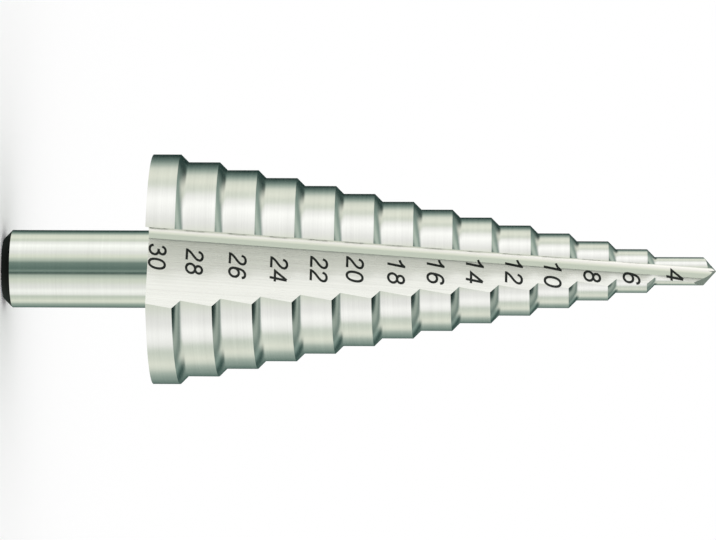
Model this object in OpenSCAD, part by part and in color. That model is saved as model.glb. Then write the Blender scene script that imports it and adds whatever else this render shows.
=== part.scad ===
// Step drill with two straight flutes, one piece of ground high-speed steel.
// It stands on its shank: the origin is the centre of the shank's end face, +Z runs to the point.
// The flute whose cutting face belongs to the land on the -X side opens towards -Y.

/* [Shank] */
// Diameter of the shank
shank_d = 10; // [6:0.5:12]
// Length of the shank, from its end to the back face of the largest step
shank_len = 19.4; // [15:0.1:40]
// Width of the 45 degree chamfer round the shank's end
shank_chamfer = 1.15; // [0.3:0.05:1.5]

/* [Steps] */
// Diameter of the smallest step, at the point
first_d = 4; // [3:0.5:6]
// Growth in diameter from one step to the next
step_rise = 2; // [1.5:0.25:2.5]
// Number of steps
step_count = 14; // [8:1:14]
// Length of each step along the axis, with its chamfer
step_len = 5; // [4:0.25:8]
// Length of the largest step, from its back face to the middle of its chamfer
last_len = 4; // [3:0.1:8]
// Length of the smallest step, from the middle of the chamfer behind it to the tip
first_len = 8.4; // [6:0.1:12]
// Angle between each step's chamfer and the axis
chamfer_angle = 45; // [35:1:60]

/* [Relief of the lands] */
// How far each land is turned off centre, towards its cutting edge
relief_offset = 0.2; // [0.05:0.05:0.4]
// How far each step is tipped, so that its chamfer falls back behind the cutting edge
step_tip = 0.85; // [0.2:0.05:1.5]

/* [Flutes] */
// Angle of the cutting face behind the radius, at the back of the head
face_rake = 20.9; // [10:0.1:25]
// Height of the cutting face at the back of the head, down to the sharp corner of the flute
face_height = 6.25; // [4:0.05:6.5]
// Distance from the axis to the cutting face, at the tip
tip_face = 0.33; // [0.1:0.01:0.6]
// Angle between the cutting face and the wide wall that carries the size marks
flute_angle = 57.4; // [52:0.2:75]
// Radius of the rounded corner at the root of the flute
root_r = 0.84; // [0.5:0.02:1.2]
// Thickness of the web between the two flutes at the tip
web_t = 0.5; // [0.3:0.05:1.2]

/* [Point] */
// Half angle of the cone that each flank is ground to
flank_cone = 49; // [44:1:56]
// Tilt of the flank cone towards its lip, which gives the 118 degree point its clearance
flank_tilt = 11; // [6:0.5:14]
// How far ahead of the lip the flank cone is tilted, about the axis
flank_lead = 22; // [10:1:45]
// Slope of the facet ground on each heel, behind the flank, measured from square to the axis
heel_slope = 59; // [50:1:66]
// Turn of that facet about the axis, from the middle of its land
heel_turn = 50; // [40:1:60]
// How far below the tip the facet would cross the axis
heel_set = 0.08; // [0.03:0.01:0.3]
// Angle between the bottom of each web notch and the axis
notch_slope = 16; // [14:1:50]
// Opening angle of each web notch
notch_angle = 84; // [80:1:100]
// Distance from the axis to the bottom of each web notch, at the tip
notch_gap = 0.1; // [0.06:0.01:0.3]

/* [Hidden] */
$fn = 96;

big_d = first_d + step_rise * (step_count - 1);
big_r = big_d / 2;
first_r = first_d / 2;
chamfer_rise = step_rise / 2;
chamfer_len = chamfer_rise / tan(chamfer_angle);
head_z = shank_len;
last_chamfer_z = head_z + last_len;
tip_z = last_chamfer_z + step_len * (step_count - 2) + first_len;
head_len = tip_z - head_z;

// The cutting edges lie this far behind the radius: face_rake at the back, lip_angle at the tip
lip_angle = asin(tip_face / first_r);
// A step's own radius is less than its nominal one by what the set-over adds at the edge
edge_relief = relief_offset * cos(face_rake);

// Sharp corner of the flute at the back face and at the tip: x across, y towards the flute's mouth
back_x = -big_r * sin(face_rake);
back_y = big_r * cos(face_rake) - face_height;
root_rise = root_r / tan(flute_angle / 2);
tip_y = sqrt(pow(root_r + web_t / 2, 2) - pow(root_r - tip_face, 2)) - root_rise;
face_slope = atan((-back_x - tip_face) / head_len);
root_slope = atan((back_y - tip_y) / head_len * cos(face_slope));

// How far the root's round runs past the two walls of the flute, where it would just touch them
root_bite = 0.004;
// Room beyond the surfaces that a cut passes through
clear = 5;
// Overlap of the two halves of the head, inside the flutes
half_lap = 0.1;
// How far a chamfer runs on inside the step in front of it, across its radius
chamfer_lap = 0.6;

// Land and chamfer of one step, about its own axis; z = 0 is the middle of the chamfer
module step_form(r, back) {
    top_r = r - chamfer_rise - chamfer_lap;
    top_z = chamfer_len / 2 + chamfer_lap / tan(chamfer_angle);
    rotate_extrude()
        polygon([[0, -back], [r, -back], [r, -chamfer_len / 2], [top_r, top_z], [0, top_z]]);
}

// All the steps of the land on the -X side, off centre towards its cutting edge and tipped back
module land_steps() {
    for (i = [0 : step_count - 2]) {
        r = big_r - i * step_rise / 2 - edge_relief;
        back = (i == 0 ? last_len : step_len) + clear;
        translate([0, -relief_offset, last_chamfer_z + i * step_len])
            rotate([-step_tip, 0, 0])
                step_form(r, back);
    }
    translate([0, -relief_offset, tip_z - first_len])
        rotate([-step_tip, 0, 0])
            translate([0, 0, -clear])
                cylinder(r = first_r - edge_relief, h = first_len + 2 * clear);
}

// Cone that the flank of one land is ground to, with its apex at the tip
module flank() {
    h = head_len + big_d;
    translate([0, 0, tip_z])
        rotate([0, 0, flank_lead - lip_angle])
            rotate([-flank_tilt, 0, 0])
                translate([0, 0, -h])
                    cylinder(r1 = h * tan(flank_cone), r2 = 0, h = h);
}

// All that lies below the facet on the heel of the land on the -X side
module heel() {
    reach = 2 * head_len;
    translate([0, 0, tip_z - heel_set])
        rotate([0, heel_slope, 180 - heel_turn])
            translate([-reach, -reach, -2 * reach])
                cube(2 * reach);
}

// The half of the head on the -X side, before its flutes are cut
module half_head() {
    intersection() {
        land_steps();
        flank();
        heel();
        translate([-big_r - clear, -big_r - clear, head_z])
            cube([big_r + clear + half_lap, 2 * (big_r + clear), head_len + clear]);
    }
}

// Section of the flute: a wedge with a rounded root, its sharp corner at the origin
module flute_section() {
    reach = 3 * big_r;
    wall = [sin(flute_angle), -cos(flute_angle)];
    translate([root_r, -root_rise])
        circle(r = root_r + root_bite);
    polygon([[0, -root_rise], [root_r, -root_rise], root_rise * wall, reach * wall, [0, -reach]]);
}

// Cutter of the flute that opens towards -Y, along its sloping root
module flute() {
    run = (head_len + 2 * clear) / cos(root_slope) / cos(face_slope);
    translate([back_x, -back_y, head_z])
        rotate([-root_slope, face_slope, 0])
            translate([0, 0, -clear])
                linear_extrude(run)
                    flute_section();
}

// Notch that thins the web in front of the lip of the land on the -X side
module web_notch() {
    reach = first_d;
    wall = [reach * sin(notch_angle), -reach * cos(notch_angle)];
    translate([0, -notch_gap, tip_z])
        rotate([0, 0, -lip_angle])
            rotate([-notch_slope, 0, 0])
                translate([0, 0, -reach])
                    linear_extrude(2 * reach)
                        polygon([[0, 0], [0, -reach], [reach, -reach], wall]);
}

module cuts() {
    flute();
    web_notch();
}

module shank() {
    r = shank_d / 2;
    top = head_z + 1;
    rotate_extrude()
        polygon([[0, 0], [r - shank_chamfer, 0], [r, shank_chamfer], [r, top], [0, top]]);
}

module step_drill() {
    color([0.78, 0.80, 0.78])
    union() {
        shank();
        difference() {
            union() {
                half_head();
                rotate([0, 0, 180]) half_head();
            }
            cuts();
            rotate([0, 0, 180]) cuts();
        }
    }
}

step_drill();
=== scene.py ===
import math

import bmesh
import bpy
import numpy as np
from mathutils import Matrix, Vector


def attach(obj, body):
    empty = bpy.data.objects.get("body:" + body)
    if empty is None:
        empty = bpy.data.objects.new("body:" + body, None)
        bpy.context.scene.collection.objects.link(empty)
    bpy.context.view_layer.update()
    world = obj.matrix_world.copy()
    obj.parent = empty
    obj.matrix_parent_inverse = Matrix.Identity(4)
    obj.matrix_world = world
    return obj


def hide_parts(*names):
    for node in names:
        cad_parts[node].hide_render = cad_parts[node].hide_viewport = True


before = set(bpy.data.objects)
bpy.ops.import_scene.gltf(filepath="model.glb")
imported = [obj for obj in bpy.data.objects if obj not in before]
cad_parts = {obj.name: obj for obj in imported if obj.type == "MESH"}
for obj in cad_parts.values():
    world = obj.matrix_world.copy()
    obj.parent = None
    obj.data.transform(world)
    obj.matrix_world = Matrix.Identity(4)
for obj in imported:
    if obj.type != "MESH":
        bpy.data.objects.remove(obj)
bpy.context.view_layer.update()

# The drill stands on its shank, and +Z runs to the point. Blender works in metres.
MM = 0.001

# Sizes of the drill in millimetres and degrees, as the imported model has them

# Radius of the shank, the chamfer round its end, and the height of the head's back face
SHANK_R = 5.0
SHANK_CHAMFER = 1.15
HEAD_Z = 19.4

# Radius of the smallest step, number of steps, length of each, and how far each 45 degree chamfer rises.
# The largest step is measured from its back face to the middle of its chamfer, and the smallest from the
# middle of the chamfer behind it to the tip.
FIRST_R = 2.0
STEP_COUNT = 14
STEP_LEN = 5.0
LAST_LEN = 4.0
FIRST_LEN = 8.4
CHAMFER_RISE = 1.0

# How far each land is turned off centre, and how far each step is tipped back behind its cutting edge
RELIEF_OFFSET = 0.2
STEP_TIP = 0.85

# Rake and height of the flute's cutting face at the back of the head, its distance from the axis at the
# tip, and its angle to the numbered wall
FACE_RAKE = 20.9
FACE_HEIGHT = 6.25
TIP_FACE = 0.33
FLUTE_ANGLE = 57.4

# Radius of the flute's root, how far its round runs past the two walls, and the web at the tip
ROOT_R = 0.84
ROOT_BITE = 0.004
WEB = 0.5

# Half angle of the cone that each flank is ground to, its tilt, and how far ahead of the lip it tilts
FLANK_CONE = 49
FLANK_TILT = 11
FLANK_LEAD = 22

# Slope and turn of the facet on each heel, and how far below the tip it would cross the axis
HEEL_SLOPE = 59
HEEL_TURN = 50
HEEL_SET = 0.08

# Slope of each web notch's bottom, the angle between its walls, and its distance from the axis at the tip
NOTCH_SLOPE = 16
NOTCH_ANGLE = 84
NOTCH_GAP = 0.1

# Sizes that follow from them
BIG_R = FIRST_R + CHAMFER_RISE * (STEP_COUNT - 1)
LAST_CHAMFER_Z = HEAD_Z + LAST_LEN
TIP_Z = LAST_CHAMFER_Z + STEP_LEN * (STEP_COUNT - 2) + FIRST_LEN
HEAD_LEN = TIP_Z - HEAD_Z

# Angle by which the lip lies behind the radius at the tip, and how much smaller than marked a step is
# turned, because it is off centre
LIP_ANGLE = math.degrees(math.asin(TIP_FACE / FIRST_R))
EDGE_RELIEF = RELIEF_OFFSET * math.cos(math.radians(FACE_RAKE))

# Sharp corner of the flute at the back face and at the tip, how far from it the root's round touches the
# walls, and the slopes of the line from the one to the other
BACK_X = -BIG_R * math.sin(math.radians(FACE_RAKE))
BACK_Y = BIG_R * math.cos(math.radians(FACE_RAKE)) - FACE_HEIGHT
ROOT_RISE = ROOT_R / math.tan(math.radians(FLUTE_ANGLE / 2))
TIP_Y = math.sqrt((ROOT_R + WEB / 2) ** 2 - (ROOT_R - TIP_FACE) ** 2) - ROOT_RISE
FACE_SLOPE = math.degrees(math.atan((-BACK_X - TIP_FACE) / HEAD_LEN))
ROOT_SLOPE = math.degrees(
    math.atan((BACK_Y - TIP_Y) / HEAD_LEN * math.cos(math.radians(FACE_SLOPE))))

# Camera of the photograph, which looks along +Y, with the drill's point to the right of the picture.
# Its lengths are in millimetres and its angles in radians.
PHOTO_W = 716
CAMERA_DISTANCE = 620.0
CAMERA_Z = 69.0
CAMERA_YAW = 0.0375
CAMERA_ROLL = 0.0039
PIXELS_PER_MM = 7.7665


def turned(axis, degrees):
    """Turn about an axis through the origin."""
    return Matrix.Rotation(math.radians(degrees), 4, axis)


def moved(x, y, z):
    """Move by a distance along each axis."""
    return Matrix.Translation((x, y, z))


def make_camera():
    """Camera at the photograph's distance, angle and scale."""
    data = bpy.data.cameras.new("photo_camera")
    cam = bpy.data.objects.new("photo_camera", data)
    bpy.context.scene.collection.objects.link(cam)
    bpy.context.scene.camera = cam
    data.sensor_fit = "HORIZONTAL"
    data.sensor_width = 36.0
    data.lens = data.sensor_width * PIXELS_PER_MM * CAMERA_DISTANCE / PHOTO_W
    data.clip_start = 0.01
    data.clip_end = 20
    forward = Vector((0, math.cos(CAMERA_YAW), -math.sin(CAMERA_YAW)))
    right = Vector((0, math.sin(CAMERA_YAW), math.cos(CAMERA_YAW)))
    up = right.cross(forward)
    pose = Matrix((right, up, -forward)).transposed().to_4x4()
    roll = Matrix.Rotation(CAMERA_ROLL, 4, "Z")
    place = Matrix.Translation((0, -CAMERA_DISTANCE * MM, CAMERA_Z * MM))
    cam.matrix_world = place @ pose @ roll


def deselect_all():
    """Leaves nothing selected, in object mode."""
    if bpy.context.object and bpy.context.object.mode != "OBJECT":
        bpy.ops.object.mode_set(mode="OBJECT")
    bpy.ops.object.select_all(action="DESELECT")


# Materials


class Nodes:
    """Small helper that adds and links the nodes of one material."""

    def __init__(self, name):
        self.material = bpy.data.materials.new(name)
        self.material.use_nodes = True
        self.tree = self.material.node_tree
        self.shader = self.tree.nodes["Principled BSDF"]

    def add(self, kind, **settings):
        """New node with these settings."""
        node = self.tree.nodes.new(kind)
        for key, value in settings.items():
            setattr(node, key, value)
        return node

    def link(self, out, into):
        """Link from one node's output to another's input."""
        self.tree.links.new(out, into)

    def object_coordinates(self):
        """Place in metres on the whole piece."""
        return self.add("ShaderNodeTexCoord").outputs["Object"]

    def object_place(self):
        """Place in millimetres on the whole piece."""
        scale = self.add("ShaderNodeVectorMath", operation="SCALE")
        scale.inputs["Scale"].default_value = 1 / MM
        self.link(self.object_coordinates(), scale.inputs[0])
        return scale.outputs["Vector"]

    def ground_place(self):
        """Place in millimetres in the frame of the ground surface that each face belongs to."""
        return self.add("ShaderNodeAttribute", attribute_name="ground_place").outputs["Vector"]

    def noise(self, place, lengths, detail=2.0, seed=0.0):
        """Noise whose spots are this long, in millimetres, along the three axes of the place."""
        stretch = self.add("ShaderNodeVectorMath", operation="MULTIPLY_ADD")
        stretch.inputs[1].default_value = tuple(1 / length for length in lengths)
        stretch.inputs[2].default_value = (seed, seed, seed)
        noise = self.add("ShaderNodeTexNoise", noise_dimensions="3D")
        noise.inputs["Scale"].default_value = 1.0
        noise.inputs["Detail"].default_value = detail
        noise.inputs["Roughness"].default_value = 0.6
        self.link(place, stretch.inputs[0])
        self.link(stretch.outputs["Vector"], noise.inputs["Vector"])
        return noise.outputs["Fac"]

    def ranged(self, value, low, high, spread=0.22):
        """Noise, which stays within a spread of one half, stretched to run from low to high."""
        node = self.add("ShaderNodeMapRange")
        node.inputs["From Min"].default_value = 0.5 - spread
        node.inputs["From Max"].default_value = 0.5 + spread
        node.inputs["To Min"].default_value = low
        node.inputs["To Max"].default_value = high
        self.link(value, node.inputs["Value"])
        return node.outputs["Result"]

    def math(self, operation, a, b=0.0):
        """Result of an operation on numbers or on other nodes' outputs."""
        node = self.add("ShaderNodeMath", operation=operation)
        for value, socket in ((a, node.inputs[0]), (b, node.inputs[1])):
            if isinstance(value, (int, float)):
                socket.default_value = value
            else:
                self.link(value, socket)
        return node.outputs["Value"]

    def tone(self, value, dark, bright):
        """Base colour that runs from dark to bright with the value."""
        node = self.add("ShaderNodeMix", data_type="RGBA")
        node.inputs["A"].default_value = (*dark, 1)
        node.inputs["B"].default_value = (*bright, 1)
        self.link(value, node.inputs["Factor"])
        self.link(node.outputs["Result"], self.shader.inputs["Base Color"])

    def relief(self, value, height):
        """Bump of this height in millimetres, on top of any bump that the material has already."""
        node = self.add("ShaderNodeBump")
        node.inputs["Strength"].default_value = 1.0
        node.inputs["Distance"].default_value = height * MM
        self.link(value, node.inputs["Height"])
        normal = self.shader.inputs["Normal"]
        if normal.is_linked:
            self.link(normal.links[0].from_socket, node.inputs["Normal"])
        self.link(node.outputs["Normal"], normal)


# Lengths of the fine and of the broad grinding lines, along a flute and round a step
LINES_ALONG = (22.0, 60.0)
LINES_ROUND = (14.0, 30.0)

# Size of the faint clouds on the whole piece
CLOUDS = (3.0, 3.0, 5.0)

# Seeds that keep the three patterns apart
FINE_SEED = 3.0
BROAD_SEED = 11.0
CLOUD_SEED = 7.0

# How much of the contrast the lines and the clouds have, and the darkest tone as a share of the tint
LINE_CONTRAST = 0.4
CLOUD_CONTRAST = 0.2
DARKEST = 0.5

# How much of the change in roughness comes from the fine lines; the rest comes from the clouds
ROUGH_FROM_LINES = 0.6

# Each surface's pattern is moved along its axis by this much from the one before it
SURFACE_SPACING = 37.0

# Rounded corner at the foot of each land, where the chamfer behind it ends: its length, its rise and
# its place, counted from the middle of the land's own chamfer
CORNER_R = 0.4
CORNER_RISE = 0.07
CORNER_Z = CHAMFER_RISE / 2 - STEP_LEN


def ground_metal(name, thin, wide, rough, contrast, height, tint, along=False):
    """Ground steel. thin and wide are the widths of its fine and broad grinding lines, which run
    round a step, or along a flute. height is the depth of the fine ones, and rough is the range of
    the roughness.
    """
    n = Nodes(name)
    n.shader.inputs["Metallic"].default_value = 1.0
    place = n.ground_place()
    if along:
        fine_size = (thin, thin, LINES_ALONG[0])
        broad_size = (wide, wide, LINES_ALONG[1])
    else:
        fine_size = (LINES_ROUND[0], LINES_ROUND[0], thin)
        broad_size = (LINES_ROUND[1], LINES_ROUND[1], wide)
    fine = n.noise(place, fine_size, detail=3.0, seed=FINE_SEED)
    broad = n.noise(place, broad_size, detail=2.0, seed=BROAD_SEED)
    clouds = n.noise(n.object_place(), CLOUDS, detail=3.0, seed=CLOUD_SEED)
    lines = n.math("MULTIPLY", n.ranged(fine, 1 - LINE_CONTRAST * contrast, 1.0),
                   n.ranged(broad, 1 - LINE_CONTRAST * contrast, 1.0))
    shade = n.math("MULTIPLY", lines, n.ranged(clouds, 1 - CLOUD_CONTRAST * contrast, 1.0))
    n.tone(shade, tuple(DARKEST * part for part in tint), tint)
    worn = n.math("ADD", n.math("MULTIPLY", fine, ROUGH_FROM_LINES),
                  n.math("MULTIPLY", clouds, 1 - ROUGH_FROM_LINES))
    n.link(n.ranged(worn, rough[0], rough[1], spread=0.15), n.shader.inputs["Roughness"])
    n.relief(fine, height)
    return n


def land_metal():
    """Ground steel of the lands, with the rounded corner in front of each chamfer."""
    n = ground_metal("land_steel", thin=0.14, wide=0.8, rough=(0.15, 0.22), contrast=0.3,
                     height=0.0015, tint=(0.88, 0.885, 0.87))
    split = n.add("ShaderNodeSeparateXYZ")
    n.link(n.ground_place(), split.inputs["Vector"])
    # The remainder takes the surfaces' spacing out again; the middle keeps it clear of zero
    middle = SURFACE_SPACING / 2
    along_step = n.math("MODULO", n.math("ADD", split.outputs["Z"], middle), SURFACE_SPACING)
    past_corner = n.math("SUBTRACT", along_step, middle + CORNER_Z)
    share = n.math("DIVIDE", past_corner, CORNER_R)
    rise = n.math("MAXIMUM", n.math("SUBTRACT", 1.0, share), 0.0)
    n.relief(n.math("MULTIPLY", rise, rise), CORNER_RISE)
    return n


def skin_metal():
    """Black skin of the shank's end, with fine marks round it."""
    n = Nodes("black_skin")
    n.shader.inputs["Metallic"].default_value = 1.0
    n.shader.inputs["Roughness"].default_value = 0.5
    marks = n.noise(n.object_place(), (1.5, 1.5, 0.08))
    n.tone(marks, (0.0005, 0.0008, 0.0005), (0.004, 0.005, 0.004))
    return n


def ink():
    """Matt black of the size marks, a little uneven."""
    n = Nodes("mark_ink")
    n.shader.inputs["Roughness"].default_value = 0.6
    spots = n.noise(n.object_place(), (0.3, 0.3, 0.3))
    n.tone(spots, (0.004, 0.008, 0.0065), (0.013, 0.0165, 0.0145))
    return n


land_steel = land_metal()
chamfer_steel = ground_metal("chamfer_steel", thin=0.08, wide=0.3, rough=(0.14, 0.2), contrast=0.35,
                             height=0.0012, tint=(0.86, 0.865, 0.85))
# The shank's steel is tinted greener and darker than the lands: a painted greenish reflection on top of
# the steel's own tone
shank_steel_painted_reflection = ground_metal("shank_steel_painted_reflection", thin=0.08, wide=0.6, rough=(0.09, 0.14), contrast=0.25,
                           height=0.0008, tint=(0.825, 0.845, 0.81))
back_steel = ground_metal("back_steel", thin=0.1, wide=0.5, rough=(0.2, 0.3), contrast=0.3,
                          height=0.001, tint=(0.85, 0.855, 0.84))
point_steel = ground_metal("point_steel", thin=0.06, wide=0.3, rough=(0.2, 0.3), contrast=0.35,
                           height=0.001, tint=(0.62, 0.625, 0.61))
flute_steel = ground_metal("flute_steel", thin=0.13, wide=0.45, rough=(0.25, 0.31), contrast=0.62,
                           height=0.003, tint=(0.965, 0.97, 0.935), along=True)
# The root's steel is tinted brighter and warmer than the other steel: a painted cream highlight on top of
# the steel's own tone
root_steel_painted_highlight = ground_metal("root_steel_painted_highlight", thin=0.1, wide=0.45, rough=(0.18, 0.24), contrast=0.15,
                          height=0.001, tint=(1.0, 0.985, 0.945), along=True)
black_skin = skin_metal()
mark_ink = ink()

FINISHES = {
    "land": land_steel,
    "chamfer": chamfer_steel,
    "flute": flute_steel,
    "root": root_steel_painted_highlight,
    "point": point_steel,
    "back": back_steel,
    "shank": shank_steel_painted_reflection,
}


# The ground surfaces of the drill, each with its own frame in millimetres


# How much less steep a chamfer is shaded per millimetre towards the point, as if ground a little hollow
CHAMFER_HOLLOW = 0.65

# The flute's root is shaded as a round that runs out flat. Its normals are counted from the first
# angle and shaded from the second one on, and the ease draws them together.
ROOT_RUNOUT = (3.5, 12.0)
ROOT_EASE = 1.3

# A face lies on a surface when it is this close, in millimetres, and the cosine between their normals is
# more than this
MATCH_DISTANCE = 0.012
MATCH_AGREEMENT = 0.8

# Where a face lies on two surfaces, a normal that is square to its own counts as this many millimetres
DISAGREEMENT_COST = 0.02

# A sliver that lies on no surface takes the nearest one's finish, if that cosine is more than this
SLIVER_AGREEMENT = 0.3

# Keeps a point on the axis from a division by zero
TINY = 1e-9


def axes_across(degrees):
    """Two axes square to z: -y turned by this angle towards +x, and the one 90 degrees past it."""
    angle = math.radians(degrees)
    return (math.sin(angle), -math.cos(angle), 0.0), (math.cos(angle), math.sin(angle), 0.0)


class Surface:
    """A flat face, a cylinder or a cone, with the finish that it was given.

    A flat face is where x is 0 in its own frame, and it faces along x. A round one runs round its z
    axis: its radius is the one at z = 0, and growth is what it gains per millimetre along z. facing is
    -1 for a round that is seen from its inside. hollow and runout only change how it is shaded.
    """

    def __init__(self, kind, place, finish, radius=0.0, growth=0.0, facing=1.0, hollow=0.0,
                 runout=None):
        self.kind = kind
        self.place = place
        self.finish = finish
        self.radius = radius
        self.growth = growth
        self.facing = facing
        self.hollow = hollow
        self.runout = runout

    def measure(self, points):
        """Distance and outward normal at each point, and the point's place in this surface's frame."""
        inverse = np.array(self.place.inverted())
        local = points @ inverse[:3, :3].T + inverse[:3, 3]
        normal = np.zeros_like(local)
        if self.kind == "flat":
            distance = local[:, 0]
            normal[:, 0] = 1.0
        else:
            around = np.hypot(local[:, 0], local[:, 1]) + TINY
            distance = (around - self.radius - self.growth * local[:, 2]) / math.hypot(1.0, self.growth)
            # A hollow cone is steepest at its edge towards the shank, and less so from there on
            growth = self.growth * (1 - self.hollow * (local[:, 2] + CHAMFER_RISE / 2))
            steep = np.hypot(1.0, growth)
            normal[:, 0] = local[:, 0] / around / steep
            normal[:, 1] = local[:, 1] / around / steep
            normal[:, 2] = -growth / steep
        turn = np.array(self.place)[:3, :3]
        return distance, (normal * self.facing) @ turn.T, local

    def shading(self, normal):
        """Normals to shade with: the measured ones, or for a round that runs out flat, bent ones."""
        if self.runout is None:
            return normal
        turn = np.array(self.place)[:3, :3]
        start, end = (axes_across(degrees) for degrees in self.runout)
        ahead = normal @ turn @ start[0] + ROOT_EASE
        aside = np.maximum(normal @ turn @ start[1], 0.0)
        bent = np.outer(ahead, turn @ end[0]) + np.outer(aside, turn @ end[1])
        return bent / np.linalg.norm(bent, axis=1)[:, None]


def facing_along(x, y, z=0.0):
    """Turn that points a flat face's own x axis along a direction."""
    return Vector((x, y, z)).to_track_quat("X", "Z").to_matrix().to_4x4()


def far_wall(degrees):
    """Outward direction of the far wall of a cut. Its near wall faces along x, and this is the angle
    between the two.
    """
    angle = math.radians(degrees)
    return -math.cos(angle), -math.sin(angle)


def flute_frame(half):
    """Frame of a flute: its origin is the flute's sharp corner at the back face, its z runs along it."""
    return half @ moved(BACK_X, -BACK_Y, HEAD_Z) @ turned("Y", FACE_SLOPE) @ turned("X", -ROOT_SLOPE)


def step_surfaces(half):
    """Land and chamfer of each step, about the step's own axis. The smallest step has no chamfer."""
    found = []
    for i in range(STEP_COUNT):
        smallest = i == STEP_COUNT - 1
        z = TIP_Z - FIRST_LEN if smallest else LAST_CHAMFER_Z + i * STEP_LEN
        place = half @ moved(0, -RELIEF_OFFSET, z) @ turned("X", -STEP_TIP)
        r = BIG_R - i * CHAMFER_RISE - EDGE_RELIEF
        # A land is measured from its own chamfer, and the smallest one from where that would be
        land = place @ moved(0, 0, STEP_LEN) if smallest else place
        found.append(Surface("round", land, "land", r))
        if not smallest:
            found.append(Surface("round", place, "chamfer", r - CHAMFER_RISE / 2, growth=-1.0,
                                 hollow=CHAMFER_HOLLOW))
    return found


def flute_surfaces(half):
    """Cutting face, numbered wall and rounded root of one flute."""
    flute = flute_frame(half)
    root = flute @ moved(ROOT_R, -ROOT_RISE, 0)
    return [
        Surface("flat", flute, "flute"),
        Surface("flat", flute @ facing_along(*far_wall(FLUTE_ANGLE)), "flute"),
        Surface("round", root, "root", ROOT_R + ROOT_BITE, facing=-1.0, runout=ROOT_RUNOUT),
    ]


def point_surfaces(half):
    """Flank, heel facet and the two walls of the web notch, for one lip."""
    flank = half @ moved(0, 0, TIP_Z) @ turned("Z", FLANK_LEAD - LIP_ANGLE) @ turned("X", -FLANK_TILT)
    heel = half @ moved(0, 0, TIP_Z - HEEL_SET) @ turned("Z", 180 - HEEL_TURN) @ turned("Y", HEEL_SLOPE)
    notch = half @ moved(0, -NOTCH_GAP, TIP_Z) @ turned("Z", -LIP_ANGLE) @ turned("X", -NOTCH_SLOPE)
    return [
        Surface("round", flank, "point", growth=-math.tan(math.radians(FLANK_CONE))),
        Surface("flat", heel @ facing_along(0, 0, 1), "point"),
        Surface("flat", notch, "point"),
        Surface("flat", notch @ facing_along(*far_wall(NOTCH_ANGLE)), "point"),
    ]


def drill_surfaces():
    """All the ground surfaces: those of both halves of the head, the back face and the shank."""
    found = []
    for half in (Matrix.Identity(4), turned("Z", 180)):
        found += step_surfaces(half) + flute_surfaces(half) + point_surfaces(half)
    found.append(Surface("flat", moved(0, 0, HEAD_Z) @ facing_along(0, 0, -1), "back"))
    found.append(Surface("round", Matrix.Identity(4), "shank", SHANK_R))
    found.append(Surface("flat", moved(0, 0, SHANK_CHAMFER) @ facing_along(0, 0, -1), "shank"))
    return found


# The dressed drill and the black end


# Points of the CAD mesh closer than this, in metres, are one point
MERGE_DISTANCE = 1e-7

# How far past the shank's chamfer, in millimetres, the faces of the black end may reach
END_MARGIN = 0.01

# Rounding of the rim of the shank's end face, in millimetres, the sides of its circle, and the angle in
# degrees up to which its edges are shaded smooth
END_ROUNDING = 0.12
END_SIDES = 96
END_SMOOTH = 20


def merged_copy(source):
    """Copy of the CAD mesh, merged, without the shank's black end and closed there."""
    mesh = bpy.data.meshes.new("ground_drill")
    bm = bmesh.new()
    bm.from_mesh(source)
    bmesh.ops.remove_doubles(bm, verts=bm.verts, dist=MERGE_DISTANCE)
    end_top = (SHANK_CHAMFER + END_MARGIN) * MM
    end = [face for face in bm.faces if max(v.co.z for v in face.verts) < end_top]
    bmesh.ops.delete(bm, geom=end, context="FACES")
    rim = [edge for edge in bm.edges if edge.is_boundary]
    cap = bmesh.ops.edgeloop_fill(bm, edges=rim)["faces"]
    bmesh.ops.triangulate(bm, faces=cap)
    bm.to_mesh(mesh)
    bm.free()
    return mesh


def match_faces(points, corners, facing):
    """Finish of each face, and the place and the normal of its corners on the surface it lies on."""
    names = list(FINISHES)
    best = np.full(len(corners), np.inf)
    nearest = np.full(len(corners), np.inf)
    finishes = np.full(len(corners), -1)
    normals = np.repeat(facing[:, None, :], 3, axis=1)
    places = np.zeros_like(normals)
    for index, surface in enumerate(drill_surfaces()):
        distance, normal, local = surface.measure(points)
        local = local + (0, 0, SURFACE_SPACING * (index + 1))
        miss = np.abs(distance[corners]).max(axis=1)
        agree = (normal[corners].mean(axis=1) * facing).sum(axis=1)
        # A sliver keeps its own flat normal
        closer = (best == np.inf) & (agree > SLIVER_AGREEMENT) & (miss < nearest)
        nearest[closer] = miss[closer]
        finishes[closer] = names.index(surface.finish)
        places[closer] = local[corners[closer]]
        rating = miss + DISAGREEMENT_COST * (1 - agree)
        better = (miss < MATCH_DISTANCE) & (agree > MATCH_AGREEMENT) & (rating < best)
        best[better] = rating[better]
        finishes[better] = names.index(surface.finish)
        places[better] = local[corners[better]]
        normals[better] = surface.shading(normal)[corners[better]]
    return finishes, places, normals


def dressed_drill():
    """The drill, with each ground surface's own finish and exact smooth normals."""
    mesh = merged_copy(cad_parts["step_drill"].data)
    drill = bpy.data.objects.new("ground_drill", mesh)
    bpy.context.scene.collection.objects.link(drill)
    mesh.materials.clear()
    for finish in FINISHES.values():
        mesh.materials.append(finish.material)
    points = np.array([v.co for v in mesh.vertices]) / MM
    corners = np.array([p.vertices for p in mesh.polygons])
    facing = np.array([p.normal for p in mesh.polygons])
    finishes, places, normals = match_faces(points, corners, facing)
    mesh.polygons.foreach_set("material_index", finishes.astype(np.int32))
    mesh.polygons.foreach_set("use_smooth", np.ones(len(corners), dtype=bool))
    ground = mesh.attributes.new("ground_place", "FLOAT_VECTOR", "CORNER")
    ground.data.foreach_set("vector", places.astype(np.float32).ravel())
    mesh.update()
    mesh.normals_split_custom_set(normals.reshape(-1, 3).tolist())
    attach(drill, "root")
    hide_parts("step_drill")
    return drill


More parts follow.
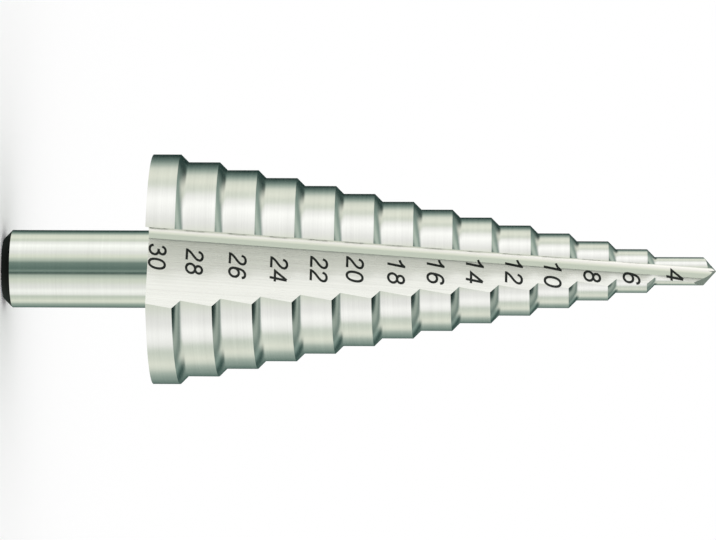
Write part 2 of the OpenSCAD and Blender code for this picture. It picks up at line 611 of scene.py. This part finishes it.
def black_end():
    """The black skin on the shank's end: the chamfer and the end face, as one closed piece."""
    deselect_all()
    bpy.ops.mesh.primitive_cone_add(
        vertices=END_SIDES, radius1=(SHANK_R - SHANK_CHAMFER) * MM, radius2=SHANK_R * MM,
        depth=SHANK_CHAMFER * MM, location=(0, 0, SHANK_CHAMFER / 2 * MM))
    end = bpy.context.object
    end.name = "black_end"
    bpy.ops.object.mode_set(mode="EDIT")
    bpy.ops.mesh.select_mode(type="EDGE")
    bpy.ops.mesh.select_all(action="DESELECT")
    bm = bmesh.from_edit_mesh(end.data)
    for edge in bm.edges:
        edge.select = all(v.co.z < 0 for v in edge.verts)
    bm.select_flush(True)
    bmesh.update_edit_mesh(end.data)
    bpy.ops.mesh.bevel(offset=END_ROUNDING * MM, segments=2)
    bpy.ops.object.mode_set(mode="OBJECT")
    bpy.ops.object.transform_apply(location=True, rotation=True, scale=True)
    bpy.ops.object.shade_smooth_by_angle(angle=math.radians(END_SMOOTH))
    end.data.materials.append(black_skin.material)
    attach(end, "root")
    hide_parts("step_drill")


# Studio: a pale floor, a white world, and a paper tent that only the polished metal sees


# Sizes in metres
FLOOR_R = 2.0
TENT_R = 1.2
TENT_HEIGHT = 2.4
TENT_MIDDLE = 0.055

# The tent's wall has its tones by the angle round the drill, and its roof and foot have theirs by the
# angle above the tent's middle. All of them are in degrees. Round the drill they are counted from the
# camera's side, and positive is the picture's lower side.
ALL_ROUND = (-180, 180)
DOWN_TO_UP = (-90, 90)

# Angles round the drill between which the tent's front passes into its back
FRONT_TO_BACK = (98, 138)

# Angles above the middle between which the wall passes into the roof, in front and at the back, and those
# below it between which it passes into the foot
ROOF_IN_FRONT = (22, 40)
ROOF_AT_BACK = (4, 14)
FOOT = (-30, -55)

# In front, the roof hangs this much lower on the picture's lower side, and higher on the other
ROOF_LEAN = 7

# On the lower side the roof is brighter by the first share up to the first of these angles, and dimmer
# by the second share from the second angle on. On the other side it is the other way round.
ROOF_LOW_GAIN = 0.4
ROOF_DIM = 0.15
ROOF_DIMMING = (27, 35)


def paper(level):
    """Tone of the greenish white paper of the tent, linear. Where it lies in shade it is greener."""
    red = level ** 1.25
    blue = 0.87 * level
    return (red, level, blue)


def lamp(level):
    """Tone of the two long lamps behind the paper, and of what lies close beside them."""
    blue = 0.975 * level
    return (level, level, blue)


# Tones of the wall. The dip in the middle is the gap for the lens, and the paper fades behind the drill.
TENT_ROUND = [
    (-180, paper(0.10)),
    (-168, paper(0.05)),
    (-158, paper(0.03)),
    (-146, paper(0.14)),
    (-138, paper(0.24)),
    (-130, paper(0.46)),
    (-119, paper(0.84)),
    (-108, paper(0.92)),
    (-95, paper(0.78)),
    (-84, lamp(1.03)),
    (-74, lamp(1.22)),
    (-62, lamp(1.10)),
    (-51, lamp(0.94)),
    (-38, paper(0.88)),
    (-27, paper(0.62)),
    (-17, paper(0.26)),
    (0, paper(0.20)),
    (6, paper(0.33)),
    (12, paper(0.10)),
    (21, paper(0.60)),
    (34, paper(0.80)),
    (54, lamp(0.92)),
    (70, lamp(1.12)),
    (79, lamp(1.02)),
    (91, paper(0.70)),
    (100, paper(0.78)),
    (111, paper(0.90)),
    (119, paper(0.78)),
    (128, paper(0.50)),
    (140, paper(0.36)),
    (158, paper(0.22)),
    (168, paper(0.12)),
]

# Tones of the foot and the roof
TENT_ABOVE = [
    (-30, paper(0.60)),
    (-10, paper(0.05)),
    (14, paper(0.08)),
    (18, paper(0.07)),
    (22, paper(0.16)),
    (27, paper(0.29)),
    (32, paper(0.29)),
    (36, paper(0.25)),
    (43, paper(0.36)),
    (47, paper(0.47)),
    (51, paper(0.54)),
    (57, paper(0.50)),
    (63, paper(0.12)),
    (69, paper(0.03)),
    (90, paper(0.03)),
]


def make_world():
    """Plain white light from all sides."""
    world = bpy.data.worlds.new("white_studio")
    bpy.context.scene.world = world
    world.use_nodes = True
    background = world.node_tree.nodes["Background"]
    background.inputs["Color"].default_value = (1, 1, 1, 1)
    background.inputs["Strength"].default_value = 1.0


def make_floor():
    """Pale round floor, which the metal doesn't reflect."""
    deselect_all()
    bpy.ops.mesh.primitive_circle_add(vertices=128, radius=FLOOR_R, fill_type="NGON")
    floor = bpy.context.object
    floor.name = "floor"
    n = Nodes("pale_floor")
    n.shader.inputs["Base Color"].default_value = (1.0, 1.0, 1.0, 1)
    n.shader.inputs["Roughness"].default_value = 0.9
    n.shader.inputs["Specular IOR Level"].default_value = 0.0
    floor.data.materials.append(n.material)
    floor.visible_glossy = False


def tone_ramp(n, angle, stops, span):
    """Tones along an angle, from stops of (degrees, tone)."""
    low, high = span
    share = n.add("ShaderNodeMapRange")
    share.inputs["From Min"].default_value = math.radians(low)
    share.inputs["From Max"].default_value = math.radians(high)
    n.link(angle, share.inputs["Value"])
    ramp = n.add("ShaderNodeValToRGB")
    ramp.color_ramp.interpolation = "EASE"
    marks = ramp.color_ramp.elements
    while len(marks) > 1:
        marks.remove(marks[-1])
    for i, (degrees, tone) in enumerate(stops):
        place = (degrees - low) / (high - low)
        mark = marks[0] if i == 0 else marks.new(place)
        mark.position = place
        mark.color = (*tone, 1)
    n.link(share.outputs["Result"], ramp.inputs["Fac"])
    return ramp.outputs["Color"]


def smooth_step(n, angle, span):
    """Smooth change from 0 to 1 while the angle passes over the span, in degrees."""
    step = n.add("ShaderNodeMapRange", interpolation_type="SMOOTHSTEP")
    step.inputs["From Min"].default_value = math.radians(span[0])
    step.inputs["From Max"].default_value = math.radians(span[1])
    n.link(angle, step.inputs["Value"])
    return step.outputs["Result"]


def tent_angles(n):
    """Angle round the drill, and angle above the tent's middle, of a place on the tent."""
    split = n.add("ShaderNodeSeparateXYZ")
    n.link(n.object_coordinates(), split.inputs["Vector"])
    x, y, z = (split.outputs[axis] for axis in "XYZ")
    around = n.math("ARCTAN2", x, n.math("MULTIPLY", y, -1.0))
    outward = n.math("SQRT", n.math("ADD", n.math("MULTIPLY", x, x), n.math("MULTIPLY", y, y)))
    above = n.math("ARCTAN2", n.math("SUBTRACT", z, TENT_MIDDLE), outward)
    return around, above


def tent_glow():
    """Light of the tent by the direction in which the drill sees it."""
    n = Nodes("tent_paper")
    around, above = tent_angles(n)
    lower_side = n.math("SINE", around)
    behind = smooth_step(n, n.math("ABSOLUTE", around), FRONT_TO_BACK)
    lean = n.math("MULTIPLY", lower_side, n.math("SUBTRACT", 1.0, behind))
    above = n.math("ADD", above, n.math("MULTIPLY", lean, math.radians(ROOF_LEAN)))

    # Share of the roof or the foot; the rest is wall
    roof = n.math("MULTIPLY", behind, smooth_step(n, above, ROOF_AT_BACK))
    roof = n.math("MAXIMUM", roof, smooth_step(n, above, ROOF_IN_FRONT))
    roof_or_foot = n.math("MAXIMUM", roof, smooth_step(n, above, FOOT))

    # The roof's tones, brighter or dimmer by their side
    high_up = n.math("MULTIPLY", smooth_step(n, above, ROOF_DIMMING), ROOF_DIM + ROOF_LOW_GAIN)
    gain = n.math("MULTIPLY", lower_side, n.math("SUBTRACT", ROOF_LOW_GAIN, high_up))
    overhead = n.add("ShaderNodeVectorMath", operation="SCALE")
    n.link(tone_ramp(n, above, TENT_ABOVE, DOWN_TO_UP), overhead.inputs[0])
    n.link(n.math("ADD", gain, 1.0), overhead.inputs["Scale"])

    mix = n.add("ShaderNodeMix", data_type="RGBA")
    n.link(roof_or_foot, mix.inputs["Factor"])
    n.link(tone_ramp(n, around, TENT_ROUND, ALL_ROUND), mix.inputs["A"])
    n.link(overhead.outputs["Vector"], mix.inputs["B"])
    glow = n.add("ShaderNodeEmission")
    n.link(mix.outputs["Result"], glow.inputs["Color"])
    n.link(glow.outputs["Emission"], n.tree.nodes["Material Output"].inputs["Surface"])
    n.material.cycles.emission_sampling = "NONE"
    return n.material


def make_tent():
    """Paper tent round the drill: it gives the polished steel something to reflect, and no shade."""
    deselect_all()
    bpy.ops.mesh.primitive_cylinder_add(
        vertices=96, radius=TENT_R, depth=TENT_HEIGHT, location=(0, 0, TENT_MIDDLE))
    tent = bpy.context.object
    tent.name = "paper_tent"
    bpy.ops.object.transform_apply(location=True, rotation=True, scale=True)
    tent.data.materials.append(tent_glow())
    tent.visible_camera = False
    tent.visible_diffuse = False
    tent.visible_shadow = False
    tent.visible_transmission = False


# Size marks


# Strokes of each digit on a cell one unit high. A curve runs smoothly through its points, a line is
# straight between them, and an oval has its middle, its half width and height, and its fullness.
DIGITS = {
    "0": [("oval", 0.388, 0.5, 0.262, 0.438, 0.62)],
    "1": [("line", (0.457, 0.0), (0.457, 1.0)),
          ("curve", (0.120, 0.670), (0.250, 0.735), (0.355, 0.815), (0.43, 0.92))],
    "2": [("curve", (0.128, 0.705), (0.158, 0.825), (0.235, 0.905), (0.37, 0.94), (0.50, 0.915),
           (0.585, 0.845), (0.61, 0.745), (0.585, 0.64), (0.51, 0.535), (0.39, 0.42), (0.27, 0.31),
           (0.17, 0.18), (0.125, 0.08)),
          ("line", (0.06, 0.065), (0.70, 0.065))],
    "3": [("curve", (0.118, 0.745), (0.155, 0.85), (0.245, 0.925), (0.355, 0.94), (0.47, 0.91),
           (0.545, 0.835), (0.56, 0.745), (0.525, 0.645), (0.44, 0.58), (0.29, 0.555)),
          ("curve", (0.29, 0.555), (0.44, 0.548), (0.555, 0.50), (0.63, 0.41), (0.64, 0.30),
           (0.60, 0.185), (0.50, 0.095), (0.37, 0.06), (0.245, 0.085), (0.155, 0.16), (0.112, 0.27))],
    "4": [("line", (0.511, 0.0), (0.511, 0.95)),
          ("line", (0.7, 0.294), (0.085, 0.294), (0.50, 0.955))],
    "6": [("oval", 0.388, 0.325, 0.252, 0.265, 0.552),
          ("curve", (0.63, 0.765), (0.59, 0.865), (0.51, 0.925), (0.405, 0.94), (0.285, 0.90),
           (0.19, 0.79), (0.145, 0.63), (0.13, 0.45), (0.138, 0.30))],
    "8": [("oval", 0.388, 0.75, 0.21, 0.19, 0.552), ("oval", 0.388, 0.31, 0.262, 0.25, 0.552)],
}

# From one digit to the next, and how much further after a 1; slant and width of the strokes. All are
# in units of the cell's height.
DIGIT_ADVANCE = 0.776
ADVANCE_PAST_ONE = 0.075
DIGIT_SLANT = 0.2126
DIGIT_STROKE = 0.135

# Straight pieces between two bends of a stroke
OVAL_PIECES = 10
CURVE_PIECES = 5

# A face of a digit's solid whose normal rises more than this is its top
FACING_UP = 0.9

# Sizes of the marks in millimetres: height, how far they stand out of the wall, and the spacing of
# the cuts across and along them that let them bend. The width is a share of the digits' own.
MARK_HEIGHT = 2.28
MARK_WIDTH = 0.955
MARK_DEPTH = 0.02
MARK_CELL = (0.06, 0.2)

# Size marks from the shank to the point: (number, height on the drill, place across the wall)
SIZE_MARKS = [
    (30, 20.6, -1.6),
    (28, 25.3, -1.0),
    (26, 30.75, -0.5),
    (24, 36.0, -0.1),
    (22, 41.05, -0.1),
    (20, 45.6, -0.1),
    (18, 50.85, 0.25),
    (16, 55.85, 0.25),
    (14, 60.85, 0.15),
    (12, 65.85, 0.2),
    (10, 70.8, 0.6),
    (8, 75.85, 0.7),
    (6, 80.9, 0.95),
    (4, 86.5, 0.4),
]


def apply_modifier(piece, kind, **settings):
    """Adds a modifier to the active piece and applies it."""
    modifier = piece.modifiers.new(kind.lower(), kind)
    for key, value in settings.items():
        setattr(modifier, key, value)
    bpy.ops.object.modifier_apply(modifier=modifier.name)


def select_faces(piece, wanted):
    """In edit mode, selects the faces for which wanted(face) holds."""
    bpy.ops.mesh.select_mode(type="FACE")
    bpy.ops.mesh.select_all(action="DESELECT")
    bm = bmesh.from_edit_mesh(piece.data)
    for face in bm.faces:
        face.select = wanted(face)
    bmesh.update_edit_mesh(piece.data)


def bend_oval(bends, x, y, half_width, half_height, fullness):
    """Makes a circle's bends an oval's. The fullness is the length of the handles on a unit circle."""
    def placed(point):
        return (x + half_width * point.x, y + half_height * point.y, 0)

    for bend in bends:
        bend.handle_left_type = "FREE"
        bend.handle_right_type = "FREE"
        ahead = Vector((-bend.co.y, bend.co.x, 0)) * fullness
        if ahead.dot(bend.handle_right - bend.co) < 0:
            ahead = -ahead
        left = bend.co - ahead
        right = bend.co + ahead
        bend.handle_left = placed(left)
        bend.handle_right = placed(right)
        bend.co = placed(bend.co)


def bend_line(bends, points, handles):
    """Puts a bend at each point."""
    bends.add(len(points) - len(bends))
    for bend, (x, y) in zip(bends, points):
        bend.co = (x, y, 0)
        bend.handle_left_type = handles
        bend.handle_right_type = handles


def digit_stroke(kind, *shape):
    """One stroke of a digit: a bar of even width along a line, one unit thick."""
    deselect_all()
    if kind == "oval":
        bpy.ops.curve.primitive_bezier_circle_add(radius=1.0)
    else:
        bpy.ops.curve.primitive_bezier_curve_add()
    stroke = bpy.context.object
    stroke.data.dimensions = "2D"
    stroke.data.fill_mode = "NONE"
    stroke.data.extrude = 0.5
    bends = stroke.data.splines[0].bezier_points
    if kind == "oval":
        stroke.data.resolution_u = OVAL_PIECES
        bend_oval(bends, *shape)
    else:
        stroke.data.resolution_u = CURVE_PIECES
        bend_line(bends, shape, "AUTO" if kind == "curve" else "VECTOR")
    bpy.ops.object.convert(target="MESH")
    bar = bpy.context.object
    apply_modifier(bar, "SOLIDIFY", thickness=DIGIT_STROKE, offset=0.0, use_even_offset=True)
    return bar


def digit_face(digit):
    """Flat face of one digit, made of its strokes."""
    bars = [digit_stroke(*stroke) for stroke in DIGITS[digit]]
    deselect_all()
    for bar in bars:
        bar.select_set(True)
    bpy.context.view_layer.objects.active = bars[0]
    if len(bars) > 1:
        bpy.ops.object.join()
    face = bpy.context.object
    bpy.ops.object.mode_set(mode="EDIT")
    bpy.ops.mesh.select_all(action="SELECT")
    bpy.ops.mesh.intersect_boolean(operation="UNION", use_self=True, solver="EXACT")
    select_faces(face, lambda side: side.normal.z < FACING_UP)
    bpy.ops.mesh.delete(type="FACE")
    bpy.ops.object.mode_set(mode="OBJECT")
    face.name = "digit_%s" % digit
    return face


def wall_frame(z, x):
    """Frame on the numbered wall: its x runs across the wall, its y towards the point, its z out."""
    flute = flute_frame(Matrix.Identity(4))
    out = (flute.to_3x3() @ Vector((*far_wall(FLUTE_ANGLE), 0))).normalized()
    root = flute.to_translation()
    y = root.y - (out.x * (x - root.x) + out.z * (z - root.z)) / out.y
    across = Vector((1, -out.x / out.y, 0))
    along = Vector((0, -out.z / out.y, 1))
    place = Matrix((across, along, out)).transposed().to_4x4()
    place.translation = Vector((x, y, z))
    return place


def joined_digits(number, digit_faces):
    """Copies of a number's digits, side by side and joined."""
    deselect_all()
    digits = str(number)
    for i, digit in enumerate(digits):
        face = digit_faces[digit].copy()
        face.data = face.data.copy()
        bpy.context.scene.collection.objects.link(face)
        past_one = ADVANCE_PAST_ONE if digits[:i] == "1" else 0
        face.data.transform(moved(i * DIGIT_ADVANCE + past_one, 0, 0))
        face.select_set(True)
        bpy.context.view_layer.objects.active = face
    if len(digits) > 1:
        bpy.ops.object.join()
    return bpy.context.object


def size_digits(mesh):
    """Slants the digits, centres them on the origin and brings them to the marks' size."""
    slanted = Matrix.Identity(4)
    slanted[0][1] = DIGIT_SLANT
    mesh.transform(slanted)
    low = [min(v.co[i] for v in mesh.vertices) for i in range(3)]
    high = [max(v.co[i] for v in mesh.vertices) for i in range(3)]
    centre = moved(-(low[0] + high[0]) / 2, -(low[1] + high[1]) / 2, -low[2])
    mesh.transform(Matrix.Diagonal((MARK_HEIGHT * MARK_WIDTH, MARK_HEIGHT, 1, 1)) @ centre)


def cut_in_cells(mark):
    """Cuts the flat mark across and along, so that it can bend."""
    bpy.ops.object.mode_set(mode="EDIT")
    cuts = (Vector((1, 0, 0)), Vector((0, 1, 0)))
    for size, cell, direction in zip(mark.dimensions, MARK_CELL, cuts):
        for i in range(1, int(size / cell)):
            bpy.ops.mesh.select_all(action="SELECT")
            bpy.ops.mesh.bisect(plane_co=direction * (i * cell - size / 2), plane_no=direction)
    bpy.ops.object.mode_set(mode="OBJECT")


def make_size_mark(number, z, x, digit_faces, drill):
    """Size mark that lies on the flute's wall and follows its rounded root."""
    mark = joined_digits(number, digit_faces)
    mark.name = "size_mark_%d" % number
    mesh = mark.data
    size_digits(mesh)
    cut_in_cells(mark)
    mesh.transform(Matrix.Scale(MM, 4) @ wall_frame(z, x))
    apply_modifier(mark, "SHRINKWRAP", target=drill, wrap_method="PROJECT", use_project_y=True,
                   use_negative_direction=True, use_positive_direction=True)
    apply_modifier(mark, "SOLIDIFY", thickness=2 * MARK_DEPTH * MM, offset=0.0)
    mesh.materials.clear()
    mesh.materials.append(mark_ink.material)
    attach(mark, "root")


def make_size_marks(drill):
    """All the size marks. Each digit is modelled once and copied."""
    digit_faces = {digit: digit_face(digit) for digit in DIGITS}
    for number, z, x in SIZE_MARKS:
        make_size_mark(number, z, x, digit_faces, drill)
    for face in digit_faces.values():
        bpy.data.objects.remove(face)


make_camera()
make_world()
make_floor()
make_tent()
drill = dressed_drill()
black_end()
make_size_marks(drill)

bpy.context.scene.view_settings.view_transform = "Standard"
